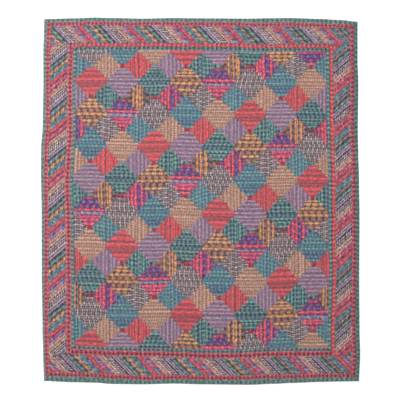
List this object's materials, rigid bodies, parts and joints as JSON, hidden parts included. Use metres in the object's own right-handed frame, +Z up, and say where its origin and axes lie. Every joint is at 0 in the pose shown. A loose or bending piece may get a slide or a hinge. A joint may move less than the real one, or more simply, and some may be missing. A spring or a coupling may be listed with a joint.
{
  "type": "duvet cover",
  "caption": "Flat patchwork duvet cover lying face up: a field of stepped log blocks inside narrow check strips and a slanting-strip border, over a plain back panel.",
  "frame": {"origin": "middle of the underside of the cover's box, on the surface that it lies on", "axes": "+X to the cover's right seen from above, +Y along its length to the head end, +Z up out of its face"},
  "size_m": [2.1299, 2.4501, 0.0062],
  "materials": {
    "back_cloth": "plain woven cotton, matte",
    "patchwork": "pieced woven checks and stripes, matte",
    "green_check": "woven green and navy check, matte",
    "red_check": "woven red check, matte",
    "slanting_strips": "pieced slanting strips of woven cloth, matte",
    "edge_green": "woven grey-green cloth, matte"
  },
  "bodies": {
    "root": {"back_panel": "back_cloth", "patchwork_field": "patchwork", "inner_green_left": "green_check", "inner_green_right": "green_check", "inner_green_bottom": "green_check", "inner_green_top": "green_check", "inner_red_left": "red_check", "inner_red_right": "red_check", "inner_red_bottom": "red_check", "inner_red_top": "red_check", "diagonal_border_left": "slanting_strips", "diagonal_border_right": "slanting_strips", "diagonal_border_bottom": "slanting_strips", "diagonal_border_top": "slanting_strips", "outer_red_left": "red_check", "outer_red_right": "red_check", "outer_red_bottom": "red_check", "outer_red_top": "red_check", "outer_green_left": "edge_green", "outer_green_right": "edge_green", "outer_green_bottom": "edge_green", "outer_green_top": "edge_green"}
  },
  "joints": []
}
